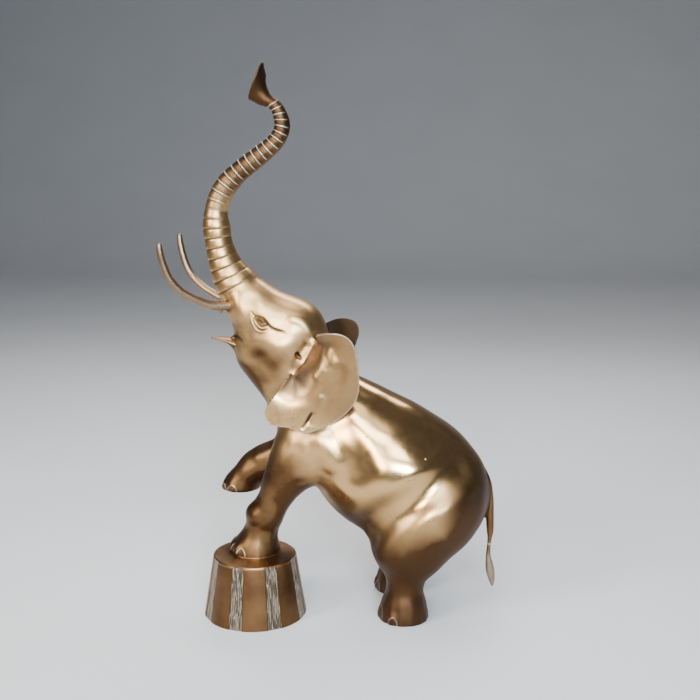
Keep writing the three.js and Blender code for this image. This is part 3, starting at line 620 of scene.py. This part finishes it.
# painted shade: the downward faces of the jaw are made brown
jaw = smoothStep(0.2, -0.4, normals[:, 2]) * smoothStep(150, 175, spots[:, 2])
jaw = jaw * smoothStep(232, 205, spots[:, 2]) * patinaAndShade["jaw"]
fore = smoothStep(48, 28, spots[:, 0]) * smoothStep(150, 112, spots[:, 2]) * patinaAndShade["fore"]
head = patinaAndShade["head"] * smoothStep(170, 190, spots[:, 2]) * smoothStep(60, 40, spots[:, 0])
brown = np.maximum(np.maximum(legs, paintedRumpShade), np.maximum(fore, jaw)) + under * (spots[:, 2] < 215)
finish[:, 2] = np.maximum(np.maximum(finish[:, 2], np.clip(brown, 0, 1)), head)
finish[:, 3] = smoothStep(45, 70, spots[:, 0]) * smoothStep(60, 95, spots[:, 2])
# dark on the hind legs, and painted shade on the rump
hind = np.maximum(legs * (spots[:, 0] > 60), paintedRumpShade)
finish[:, 1] = np.maximum(finish[:, 1], patinaAndShade["hindDark"] * hind)
joint = (np.abs(spots[:, 2] - patinaAndShade["jointHeight"]) < patinaAndShade["jointHalf"]) & (spots[:, 0] < 30)
finish[joint, 1] = patinaAndShade["jointDark"]
putFinishAndShade(bodyPiece, finish)
print("carved", len(bodyPiece.data.polygons))

# slit and folds of the ear, written for the right one
folds = [
    {"line": [(44.4, 42.6, 157.5), (41.5, 43, 152.5), (38.9, 43.6, 148)], "wide": 2.6, "high": -1.1, "dark": 1,
     "taper": False},
    {"line": [(51.5, 42, 168), (50, 43, 161), (46, 43.3, 153.5)], "wide": 4.5, "high": 0.5},
    {"line": [(64, 42, 187), (61, 43, 176), (55, 43, 166), (50, 43.5, 158), (46, 43.5, 153)], "wide": 9, "high": -0.8},
    {"line": [(57, 38, 200.5), (58.5, 39, 197), (60, 39, 194.5)], "wide": 5, "high": 0.35},
    {"line": [(48.5, 38, 183.5), (52, 38, 188)], "wide": 5, "high": 0.4},
]
earPieces = []
for side, name in ((-1, "earLeft"), (1, "earRight")):
    sheet = earSheet(side, ear["start"], True)
    modify(sheet, "SOLIDIFY", thickness=ear["thick"] / 1000, offset=0)
    modify(sheet, "BEVEL", width=ear["edge"] / 1000, segments=2, limit_method="ANGLE")
    carve(sheet, folds if side > 0 else mirrored(folds))
    # the backs of the ears were never polished: they stay brown and rough, and painted shade darkens them where they
    # face the body
    finish = finishOf(sheet)
    behind = smoothStep(0.1, -0.3, normalsOf(sheet)[:, 1] * side)
    finish[:, 1] = np.maximum(finish[:, 1], behind * 0.7)
    finish[:, 2] = np.maximum(finish[:, 2], behind)
    finish[:, 3] *= 1 - behind
    putFinishAndShade(sheet, finish)
    earPieces.append(sheet)
    finished(sheet, name, ["elephant"])
print("ears")

tail = {
    "rows": [(152, 124, 3.8, 4.2), (158, 118, 4, 4.2), (168.7, 100, 3.8, 3.6), (172.2, 86, 3.4, 3.2),
             (173.2, 72, 3.1, 2.8), (173.8, 59, 2.6, 2.4), (173.6, 53, 1.7, 1.6), (173, 45.5, 1.4, 1.4),
             (172.9, 39, 1.9, 1.7), (174.3, 29, 3.2, 2.2), (175.7, 21, 2.5, 1.7), (176.4, 15.3, 0.8, 0.6)],
    "sides": 20, "steps": 7,
}
lip = {
    "rows": [(2, 196.5, 8, 14), (-12, 198.8, 5, 10), (-19, 201, 2.4, 7.5), (-26, 202.3, 1.2, 5),
             (-32.6, 202.9, 0.4, 1.4)],
    "sides": 28, "steps": 7,
}
tusk = {
    "rows": [(-7, 0, 3.2), (0, 0, 3.2), (8, 1, 3.2), (16, 4.3, 3.1), (23.5, 8.3, 3), (31, 14, 2.9), (37, 22, 2.7),
             (40.8, 32, 2.5), (42.6, 40, 2.3), (43, 45.4, 1.7), (43, 47, 0.6)],
    "sides": 24, "steps": 7, "splay": 23.3, "solder": (-23, -13, 225.6), "drop": 1.9,
    "roots": {"tusk_left": (-1, -22.3, -13.5, 228.7), "tusk_right": (1, -20.8, 13.5, 229)},
}


# rows of x, z, half across and half wide become many, each turned square to the line
def fineRows(rows, steps):
    found = []
    count = (len(rows) - 1) * steps
    for i in range(count + 1):
        here = curveThrough(rows, i / steps)
        ahead = curveThrough(rows, min(i / steps + 0.02, len(rows) - 1))
        behind = curveThrough(rows, max(i / steps - 0.02, 0))
        tilt = math.atan2(ahead[1] - behind[1], ahead[0] - behind[0]) - math.pi / 2
        if found:
            tilt += 2 * math.pi * round((found[-1][4] - tilt) / (2 * math.pi))
        found.append([here[0], here[1], max(here[2], 0.2), max(here[3], 0.2), tilt])
    return found


tailPiece = drawOut(fineRows(tail["rows"], tail["steps"]), tail["sides"])
lipPiece = drawOut(fineRows(lip["rows"], lip["steps"]), lip["sides"])
# the lower lip is brown, and browner on its downward faces: painted shade underneath
finish = finishOf(lipPiece)
finish[:, 2] = 0.45 + 0.55 * smoothStep(0.2, -0.5, normalsOf(lipPiece)[:, 2])
putFinishAndShade(lipPiece, finish)
# the paddle of the tail is greyer, with a bright ring above it
finish, heights = finishOf(tailPiece), spotsOf(tailPiece)[:, 2]
paddle = smoothStep(44, 36, heights)
finish[:, 0] = np.maximum(0.22 * paddle, 0.6 * (np.abs(heights - 48.5) < 0.7))
finish[:, 2] = 0.8 - 0.1 * paddle
putFinishAndShade(tailPiece, finish)
finished(tailPiece, "tail", ["elephant"])
finished(lipPiece, "lowerLip", ["elephant"])
finished(bodyPiece, "elephantBody", ["elephant"])
tuskPieces = []
for name, (side, x, y, z) in tusk["roots"].items():
    rows = [(x - out, z + up, radius, radius) for out, up, radius in tusk["rows"]]
    rod = drawOut(fineRows(rows, tusk["steps"]), tusk["sides"], y=y)
    bpy.ops.object.mode_set(mode="EDIT")
    bpy.ops.mesh.select_all(action="SELECT")
    turn = math.radians(tusk["splay"]) * side
    bpy.ops.transform.rotate(value=turn, orient_axis="Z", orient_type="GLOBAL", center_override=at(x, y, z))
    bpy.ops.object.mode_set(mode="OBJECT")
    if side < 0:
        # a drop of solder at the near root
        bpy.ops.object.select_all(action="DESELECT")
        bpy.ops.mesh.primitive_uv_sphere_add(segments=20, ring_count=12, radius=tusk["drop"] / 1000,
                                             location=at(*tusk["solder"]))
        drop = bpy.context.object
        drop.scale = (0.8, 0.9, 1.25)
        bpy.ops.object.transform_apply(location=True, rotation=True, scale=True)
        pick(rod, drop)
        bpy.ops.object.join()
    finished(rod, "tuskLeft" if side < 0 else "tuskRight", [name])
    tuskPieces.append(rod)
print("tail, lip and tusks")

drum = {"height": 45.8, "top": 30.3, "foot": 37.7, "sides": 720, "rings": 44, "rim": 1.3, "heel": 0.5, "stripes": 8,
        "first": 29.9, "wide": 16, "deep": 0.7, "chisel": 0.45, "uneven": 0.25,
        "lip": 18.4, "lipThick": 0.6, "lipCentre": (-0.4, -15.3, 45.8)}


# radius and height of each ring, with a rounded rim on top and a small one under
def drumRings():
    rings = []
    slope = (drum["foot"] - drum["top"]) / drum["height"]
    for turn in (0, 30, 60):
        shift = drum["heel"] * (1 - math.sin(math.radians(turn)))
        rings.append((drum["foot"] - shift, drum["heel"] * (1 - math.cos(math.radians(turn)))))
    low, high = drum["heel"], drum["height"] - drum["rim"]
    for i in range(drum["rings"] + 1):
        z = between(low, high, i / drum["rings"])
        rings.append((drum["foot"] - slope * z, z))
    for turn in (20, 40, 60, 80, 90):
        angle = math.radians(turn)
        rings.append((rings[2 + drum["rings"] + 1][0] - drum["rim"] * (1 - math.cos(angle)),
                      high + drum["rim"] * math.sin(angle)))
    rings.append((drum["top"] - 4, drum["height"] - 0.1))
    rings.append((drum["top"] * 0.6, drum["height"] - 0.2))
    return rings


def makeDrum():
    rings = drumRings()
    centre = at(0, drumSide, 0)
    bpy.ops.object.select_all(action="DESELECT")
    bpy.ops.mesh.primitive_circle_add(vertices=drum["sides"], radius=rings[0][0] / 1000, fill_type="NGON",
                                      location=centre)
    piece = bpy.context.object
    bpy.ops.object.transform_apply(location=True, rotation=True, scale=True)
    bpy.ops.object.mode_set(mode="EDIT")
    bpy.ops.mesh.select_mode(type="VERT")
    bpy.ops.mesh.select_all(action="SELECT")
    for (wasWide, wasHigh), (wide, high) in zip(rings[:-1], rings[1:]):
        bpy.ops.mesh.extrude_region_move(TRANSFORM_OT_translate={"value": (0, 0, (high - wasHigh) / 1000)})
        bpy.ops.transform.resize(value=(wide / wasWide, wide / wasWide, 1), center_override=at(0, drumSide, high))
    bpy.ops.mesh.select_all(action="SELECT")
    bpy.ops.mesh.normals_make_consistent(inside=False)
    bpy.ops.object.mode_set(mode="OBJECT")
    # stripes are chiselled into the side in upright strokes
    spots, finish = spotsOf(piece), finishOf(piece)
    bearing = np.degrees(np.arctan2(spots[:, 1] - drumSide, spots[:, 0]))
    reach = np.hypot(spots[:, 1] - drumSide, spots[:, 0])
    pitch = 360 / drum["stripes"]
    off = np.abs((bearing - drum["first"] + pitch / 2) % pitch - pitch / 2)
    onSide = (reach > drum["top"] - 1.2) & (spots[:, 2] < drum["height"] - 0.6)
    ragged = np.array([noise.noise(Vector((turn * 0.9, z / 7, 3))) for turn, z in zip(bearing, spots[:, 2])])
    strokes = np.array([noise.noise(Vector((turn * 1.1, z / 11, 8))) for turn, z in zip(bearing, spots[:, 2])])
    uneven = np.array([noise.noise(Vector((turn / 22, z / 16, 5))) for turn, z in zip(bearing, spots[:, 2])])
    stripe = (1 - smoothStep(drum["wide"] / 2 - 0.9, drum["wide"] / 2, off + 0.5 * ragged)) * onSide
    cut = stripe * (drum["deep"] * 0.5 + drum["chisel"] * smoothStep(-0.15, 0.15, strokes)) - drum["uneven"] * uneven
    sink = 1 - np.where(reach > drum["top"] - 1.5, cut, 0) / np.maximum(reach, 1)
    spots[:, 0] *= sink
    spots[:, 1] = drumSide + (spots[:, 1] - drumSide) * sink
    spots[:, 2] -= np.where(reach < drum["top"] + 0.5, 0.25 * np.abs(uneven), 0) * (spots[:, 2] > 40)
    putSpots(piece, spots)
    finish[:, 0] = stripe
    finish[:, 1] = stripe * smoothStep(-0.05, 0.2, strokes) * 0.85
    edge = np.exp(-((off - drum["wide"] / 2 - 0.3) / 0.6) ** 2) * onSide
    finish[:, 1] = np.maximum(finish[:, 1], edge * 0.7)
    rim = np.exp(-((reach - drum["top"] - 0.1) / 0.6) ** 2) * (spots[:, 2] > 44)
    finish[:, 2] = np.where(spots[:, 2] > 44.8, 0.3, 0.75) * (1 - rim)
    putFinishAndShade(piece, finish)
    # thin lip where the forefoot is let in
    bpy.ops.object.select_all(action="DESELECT")
    bpy.ops.mesh.primitive_torus_add(major_segments=120, minor_segments=10, major_radius=drum["lip"] / 1000,
                                     minor_radius=drum["lipThick"] / 1000, location=at(*drum["lipCentre"]))
    ring = bpy.context.object
    bpy.ops.object.transform_apply(location=True, rotation=True, scale=True)
    finish = finishOf(ring)
    finish[:, 0] = 0.12
    finish[:, 2] = 0.45
    putFinishAndShade(ring, finish)
    pick(piece, ring)
    bpy.ops.object.join()
    return piece


drumPiece = makeDrum()
finished(drumPiece, "drumStand", ["drum"])
bpy.ops.object.shade_smooth_by_angle(angle=math.radians(40))
print("drum")

# camera at the photograph's angle
camera = {"place": (120.6, -818.5, 361.8), "aim": (69.11, 0, 194.95), "focus": 1150 * 36 / 700}
bpy.ops.object.select_all(action="DESELECT")
bpy.ops.object.camera_add(location=at(*camera["place"]))
cameraPiece = bpy.context.object
aim = at(*camera["aim"]) - at(*camera["place"])
cameraPiece.rotation_euler = aim.to_track_quat("-Z", "Y").to_euler()
cameraPiece.data.lens = camera["focus"]
cameraPiece.data.sensor_width = 36
cameraPiece.data.clip_start = 0.01
bpy.context.scene.camera = cameraPiece

# floor that turns up into a back wall
bpy.ops.object.select_all(action="DESELECT")
bpy.ops.mesh.primitive_plane_add(size=6, location=(0, 0, 0))
floorPiece = bpy.context.object
floorPiece.name = "floor"
bpy.ops.object.mode_set(mode="EDIT")
bpy.ops.mesh.select_mode(type="EDGE")
bpy.ops.mesh.select_all(action="DESELECT")
bpy.ops.object.mode_set(mode="OBJECT")
for edge in floorPiece.data.edges:
    edge.select = all(floorPiece.data.vertices[i].co.y > 2 for i in edge.vertices)
bpy.ops.object.mode_set(mode="EDIT")
bpy.ops.mesh.extrude_region_move(TRANSFORM_OT_translate={"value": (0, 0, 3)})
bpy.ops.object.mode_set(mode="OBJECT")
modify(floorPiece, "BEVEL", width=1.2, segments=16, limit_method="ANGLE")
bpy.ops.object.shade_smooth()


def makeGroup(name, inputs, outputs):
    tree = bpy.data.node_groups.new(name, "ShaderNodeTree")
    for label, kind in inputs:
        tree.interface.new_socket(label, in_out="INPUT", socket_type="NodeSocket" + kind)
    for label, kind in outputs:
        tree.interface.new_socket(label, in_out="OUTPUT", socket_type="NodeSocket" + kind)
    return tree, tree.nodes.new("NodeGroupInput"), tree.nodes.new("NodeGroupOutput")


# a node with its inputs set: a number or colour is written in, a socket is linked
def addNode(tree, kind, inputs=(), **settings):
    node = tree.nodes.new("ShaderNode" + kind)
    for key, value in settings.items():
        setattr(node, key, value)
    for key, value in dict(inputs).items():
        if isinstance(value, bpy.types.NodeSocket):
            tree.links.new(value, node.inputs[key])
        else:
            node.inputs[key].default_value = value
    return node


def calc(tree, operation, *values, clamp=False):
    return addNode(tree, "Math", dict(enumerate(values)), operation=operation, use_clamp=clamp).outputs[0]


def noiseOf(tree, scale, detail=2, rough=0.5, stretch=(1, 1, 1)):
    place = addNode(tree, "TexCoord").outputs["Object"]
    if stretch != (1, 1, 1):
        place = addNode(tree, "Mapping", {"Vector": place, "Scale": stretch}).outputs["Vector"]
    return addNode(tree, "TexNoise", {"Vector": place, "Scale": scale, "Detail": detail, "Roughness": rough}).outputs[0]


def ranged(tree, value, low, high, toLow=0.0, toHigh=1.0):
    return addNode(tree, "MapRange", {"Value": value, "From Min": low, "From Max": high, "To Min": toLow,
                                      "To Max": toHigh}).outputs[0]


def mixed(tree, share, a, b, blend="MIX"):
    node = addNode(tree, "Mix", data_type="RGBA", blend_type=blend)
    for key, value in (("Factor_Float", share), ("A_Color", a), ("B_Color", b)):
        socket = [one for one in node.inputs if one.identifier == key][0]
        if isinstance(value, bpy.types.NodeSocket):
            tree.links.new(value, socket)
        else:
            socket.default_value = value
    return [one for one in node.outputs if one.identifier == "Result_Color"][0]


# the skin of a sand casting: fine grain, soft lumps, a few pits
def makeSkin():
    tree, given, made = makeGroup("castSkin", [("Grain", "Float"), ("Lumps", "Float"), ("Pits", "Float")],
                                  [("Height", "Float"), ("Hollow", "Float")])
    grain = calc(tree, "MULTIPLY", noiseOf(tree, 620, 3, 0.6), given.outputs["Grain"])
    lumps = calc(tree, "MULTIPLY", noiseOf(tree, 55, 2, 0.45), given.outputs["Lumps"])
    place = addNode(tree, "TexCoord").outputs["Object"]
    cells = addNode(tree, "TexVoronoi", {"Vector": place, "Scale": 130})
    chosen = addNode(tree, "SeparateColor", {"Color": cells.outputs["Color"]}).outputs[0]
    pit = calc(tree, "MULTIPLY", ranged(tree, cells.outputs["Distance"], 0.05, 0.11, 1, 0),
               calc(tree, "GREATER_THAN", chosen, 0.86))
    pit = calc(tree, "MULTIPLY", pit, given.outputs["Pits"])
    height = calc(tree, "SUBTRACT", calc(tree, "ADD", grain, lumps), calc(tree, "MULTIPLY", pit, 0.5))
    tree.links.new(height, made.inputs["Height"])
    tree.links.new(pit, made.inputs["Hollow"])
    return tree


# worn metal: gold to brown, dark in hollows and where shade is painted, bright on crests
def makeAgeAndShade():
    tree, given, made = makeGroup(
        "agedMetalAndShade",
        [("Gold", "Color"), ("Brown", "Color"), ("Dark", "Color"), ("Silver", "Color"), ("FinishAndShade", "Color"),
         ("Hollow", "Float"), ("Buffed", "Float"), ("Blotch", "Float"), ("Polish", "Float"), ("Satin", "Float"),
         ("Dull", "Float")],
        [("Color", "Color"), ("Roughness", "Float")])
    parts = addNode(tree, "SeparateColor", {"Color": given.outputs["FinishAndShade"]}).outputs
    cloud = ranged(tree, noiseOf(tree, 26, 5, 0.62), 0.42, 0.66)
    fleck = noiseOf(tree, 210, 5, 0.7)
    brown = calc(tree, "MULTIPLY_ADD", cloud, given.outputs["Blotch"], parts[2], clamp=True)
    color = mixed(tree, brown, given.outputs["Gold"], given.outputs["Brown"])
    color = mixed(tree, 1.0, color, addNode(tree, "CombineColor", {
        key: ranged(tree, fleck, 0.25, 0.75, 0.9, 1.06) for key in ("Red", "Green", "Blue")}).outputs[0], "MULTIPLY")
    hollowAndShade = calc(tree, "MAXIMUM", calc(tree, "MULTIPLY", parts[1], ranged(tree, fleck, 0.2, 0.6, 0.7, 1)),
                  given.outputs["Hollow"])
    crest = calc(tree, "MULTIPLY", parts[0], ranged(tree, fleck, 0.25, 0.6, 0.55, 1))
    color = mixed(tree, crest, color, given.outputs["Silver"])
    color = mixed(tree, hollowAndShade, color, given.outputs["Dark"])
    satin = ranged(tree, given.outputs["Buffed"], 0, 1, given.outputs["Satin"], given.outputs["Polish"])
    rough = ranged(tree, brown, 0, 1, satin, given.outputs["Dull"])
    rough = calc(tree, "MULTIPLY_ADD", hollowAndShade, 0.25, rough)
    rough = calc(tree, "ADD", rough, ranged(tree, fleck, 0.3, 0.8, -0.02, 0.04), clamp=True)
    tree.links.new(color, made.inputs["Color"])
    tree.links.new(rough, made.inputs["Roughness"])
    return tree


skinGroup, ageAndShadeGroup = makeSkin(), makeAgeAndShade()


def metal(name, colors, skin, age):
    material = bpy.data.materials.new(name)
    material.use_nodes = True
    tree = material.node_tree
    shader = tree.nodes["Principled BSDF"]
    shader.inputs["Metallic"].default_value = 1
    mark = addNode(tree, "Attribute", attribute_name="finish").outputs
    surface = addNode(tree, "Group", node_tree=skinGroup)
    for key, value in skin.items():
        surface.inputs[key].default_value = value
    wornAndShade = addNode(tree, "Group", node_tree=ageAndShadeGroup)
    for key, value in colors.items():
        wornAndShade.inputs[key].default_value = (*value, 1)
    for key, value in age.items():
        wornAndShade.inputs[key].default_value = value
    tree.links.new(mark["Color"], wornAndShade.inputs["FinishAndShade"])
    tree.links.new(mark["Alpha"], wornAndShade.inputs["Buffed"])
    tree.links.new(surface.outputs["Hollow"], wornAndShade.inputs["Hollow"])
    bump = addNode(tree, "Bump", {"Strength": 1, "Distance": 0.001, "Height": surface.outputs["Height"]})
    tree.links.new(wornAndShade.outputs["Color"], shader.inputs["Base Color"])
    tree.links.new(wornAndShade.outputs["Roughness"], shader.inputs["Roughness"])
    tree.links.new(bump.outputs["Normal"], shader.inputs["Normal"])
    return material


goldColors = {"Gold": (0.69, 0.42, 0.18), "Brown": (0.088, 0.042, 0.018), "Dark": (0.04, 0.025, 0.014),
              "Silver": (0.82, 0.77, 0.68)}
duskColors = {"Gold": (0.36, 0.2, 0.084), "Brown": (0.1, 0.048, 0.02), "Dark": (0.04, 0.025, 0.015),
              "Silver": (0.33, 0.28, 0.215)}
greyColors = {"Gold": (0.3, 0.2, 0.12), "Brown": (0.13, 0.08, 0.05), "Dark": (0.05, 0.035, 0.02),
              "Silver": (0.6, 0.55, 0.47)}
brass = metal("polishedBrass", goldColors, {"Grain": 0.012, "Lumps": 0.1, "Pits": 0.08},
              {"Blotch": 0.17, "Polish": 0.17, "Satin": 0.33, "Dull": 0.42})
brownBrass = metal("brownBrass", duskColors, {"Grain": 0.08, "Lumps": 0.4, "Pits": 0.7},
                   {"Blotch": 0.3, "Polish": 0.24, "Satin": 0.3, "Dull": 0.42})
dullBrass = metal("dullBrass", greyColors, {"Grain": 0.12, "Lumps": 0.5, "Pits": 0.6},
                  {"Blotch": 0.5, "Polish": 0.3, "Satin": 0.36, "Dull": 0.5})
for pieces, material in (([bodyPiece, tailPiece, lipPiece, *earPieces], brass), ([drumPiece], brownBrass),
                         (tuskPieces, dullBrass)):
    for piece in pieces:
        finishOf(piece)
        piece.data.materials.clear()
        piece.data.materials.append(material)
for node, material in (("elephant", brass), ("drum", brownBrass), ("tusk_left", dullBrass), ("tusk_right", dullBrass)):
    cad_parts[node].data.materials.clear()
    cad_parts[node].data.materials.append(material)

pale = bpy.data.materials.new("paleFloor")
pale.use_nodes = True
cloth = noiseOf(pale.node_tree, 6, 3)
shade = mixed(pale.node_tree, cloth, (0.60, 0.60, 0.60, 1), (0.66, 0.66, 0.66, 1))
pale.node_tree.links.new(shade, pale.node_tree.nodes["Principled BSDF"].inputs["Base Color"])
pale.node_tree.nodes["Principled BSDF"].inputs["Roughness"].default_value = 0.9
floorPiece.data.materials.append(pale)

world = bpy.data.worlds.new("studio")
bpy.context.scene.world = world
world.use_nodes = True
world.node_tree.nodes["Background"].inputs["Color"].default_value = (0.10, 0.105, 0.12, 1)
world.node_tree.nodes["Background"].inputs["Strength"].default_value = 1


def softBox(name, place, aimAt, size, power, spread=180, tint=(1, 1, 1)):
    bpy.ops.object.select_all(action="DESELECT")
    bpy.ops.object.light_add(type="AREA", location=place)
    light = bpy.context.object
    light.name = name
    light.rotation_euler = (Vector(aimAt) - Vector(place)).to_track_quat("-Z", "Y").to_euler()
    light.data.shape = "RECTANGLE"
    light.data.size, light.data.size_y = size
    light.data.energy = power
    light.data.color = tint
    light.data.spread = math.radians(spread)


softBox("topBox", (-0.1, 0.15, 1.4), (0.0, 0.05, 0.2), (1.0, 0.7), 9)
softBox("fillBox", (0.05, -0.62, 1.35), (0.0, 0.0, 0.2), (0.9, 0.5), 4.2)
softBox("backBox", (0.1, 1.1, 1.25), (0.0, 0.0, 0.15), (1.2, 0.35), 4, 90)
softBox("highBox", (0.1, -1.15, 1.1), (0.0, 0.0, 0.2), (0.8, 0.42), 4.6, 90, (0.82, 0.91, 1))
softBox("frontBox", (0.32, -1.45, 0.55), (0.05, 0.0, 0.15), (0.4, 0.26), 4.2, 70, (0.66, 0.83, 1))
softBox("lensBox", (-0.3, -1.5, 0.62), (-0.05, 0.0, 0.25), (0.45, 0.34), 2.2, 70, (1, 0.92, 0.8))
softBox("leftBox", (-0.9, -0.8, 0.8), (0.0, 0.0, 0.22), (0.5, 0.7), 4.4, 90, (1, 0.97, 0.92))
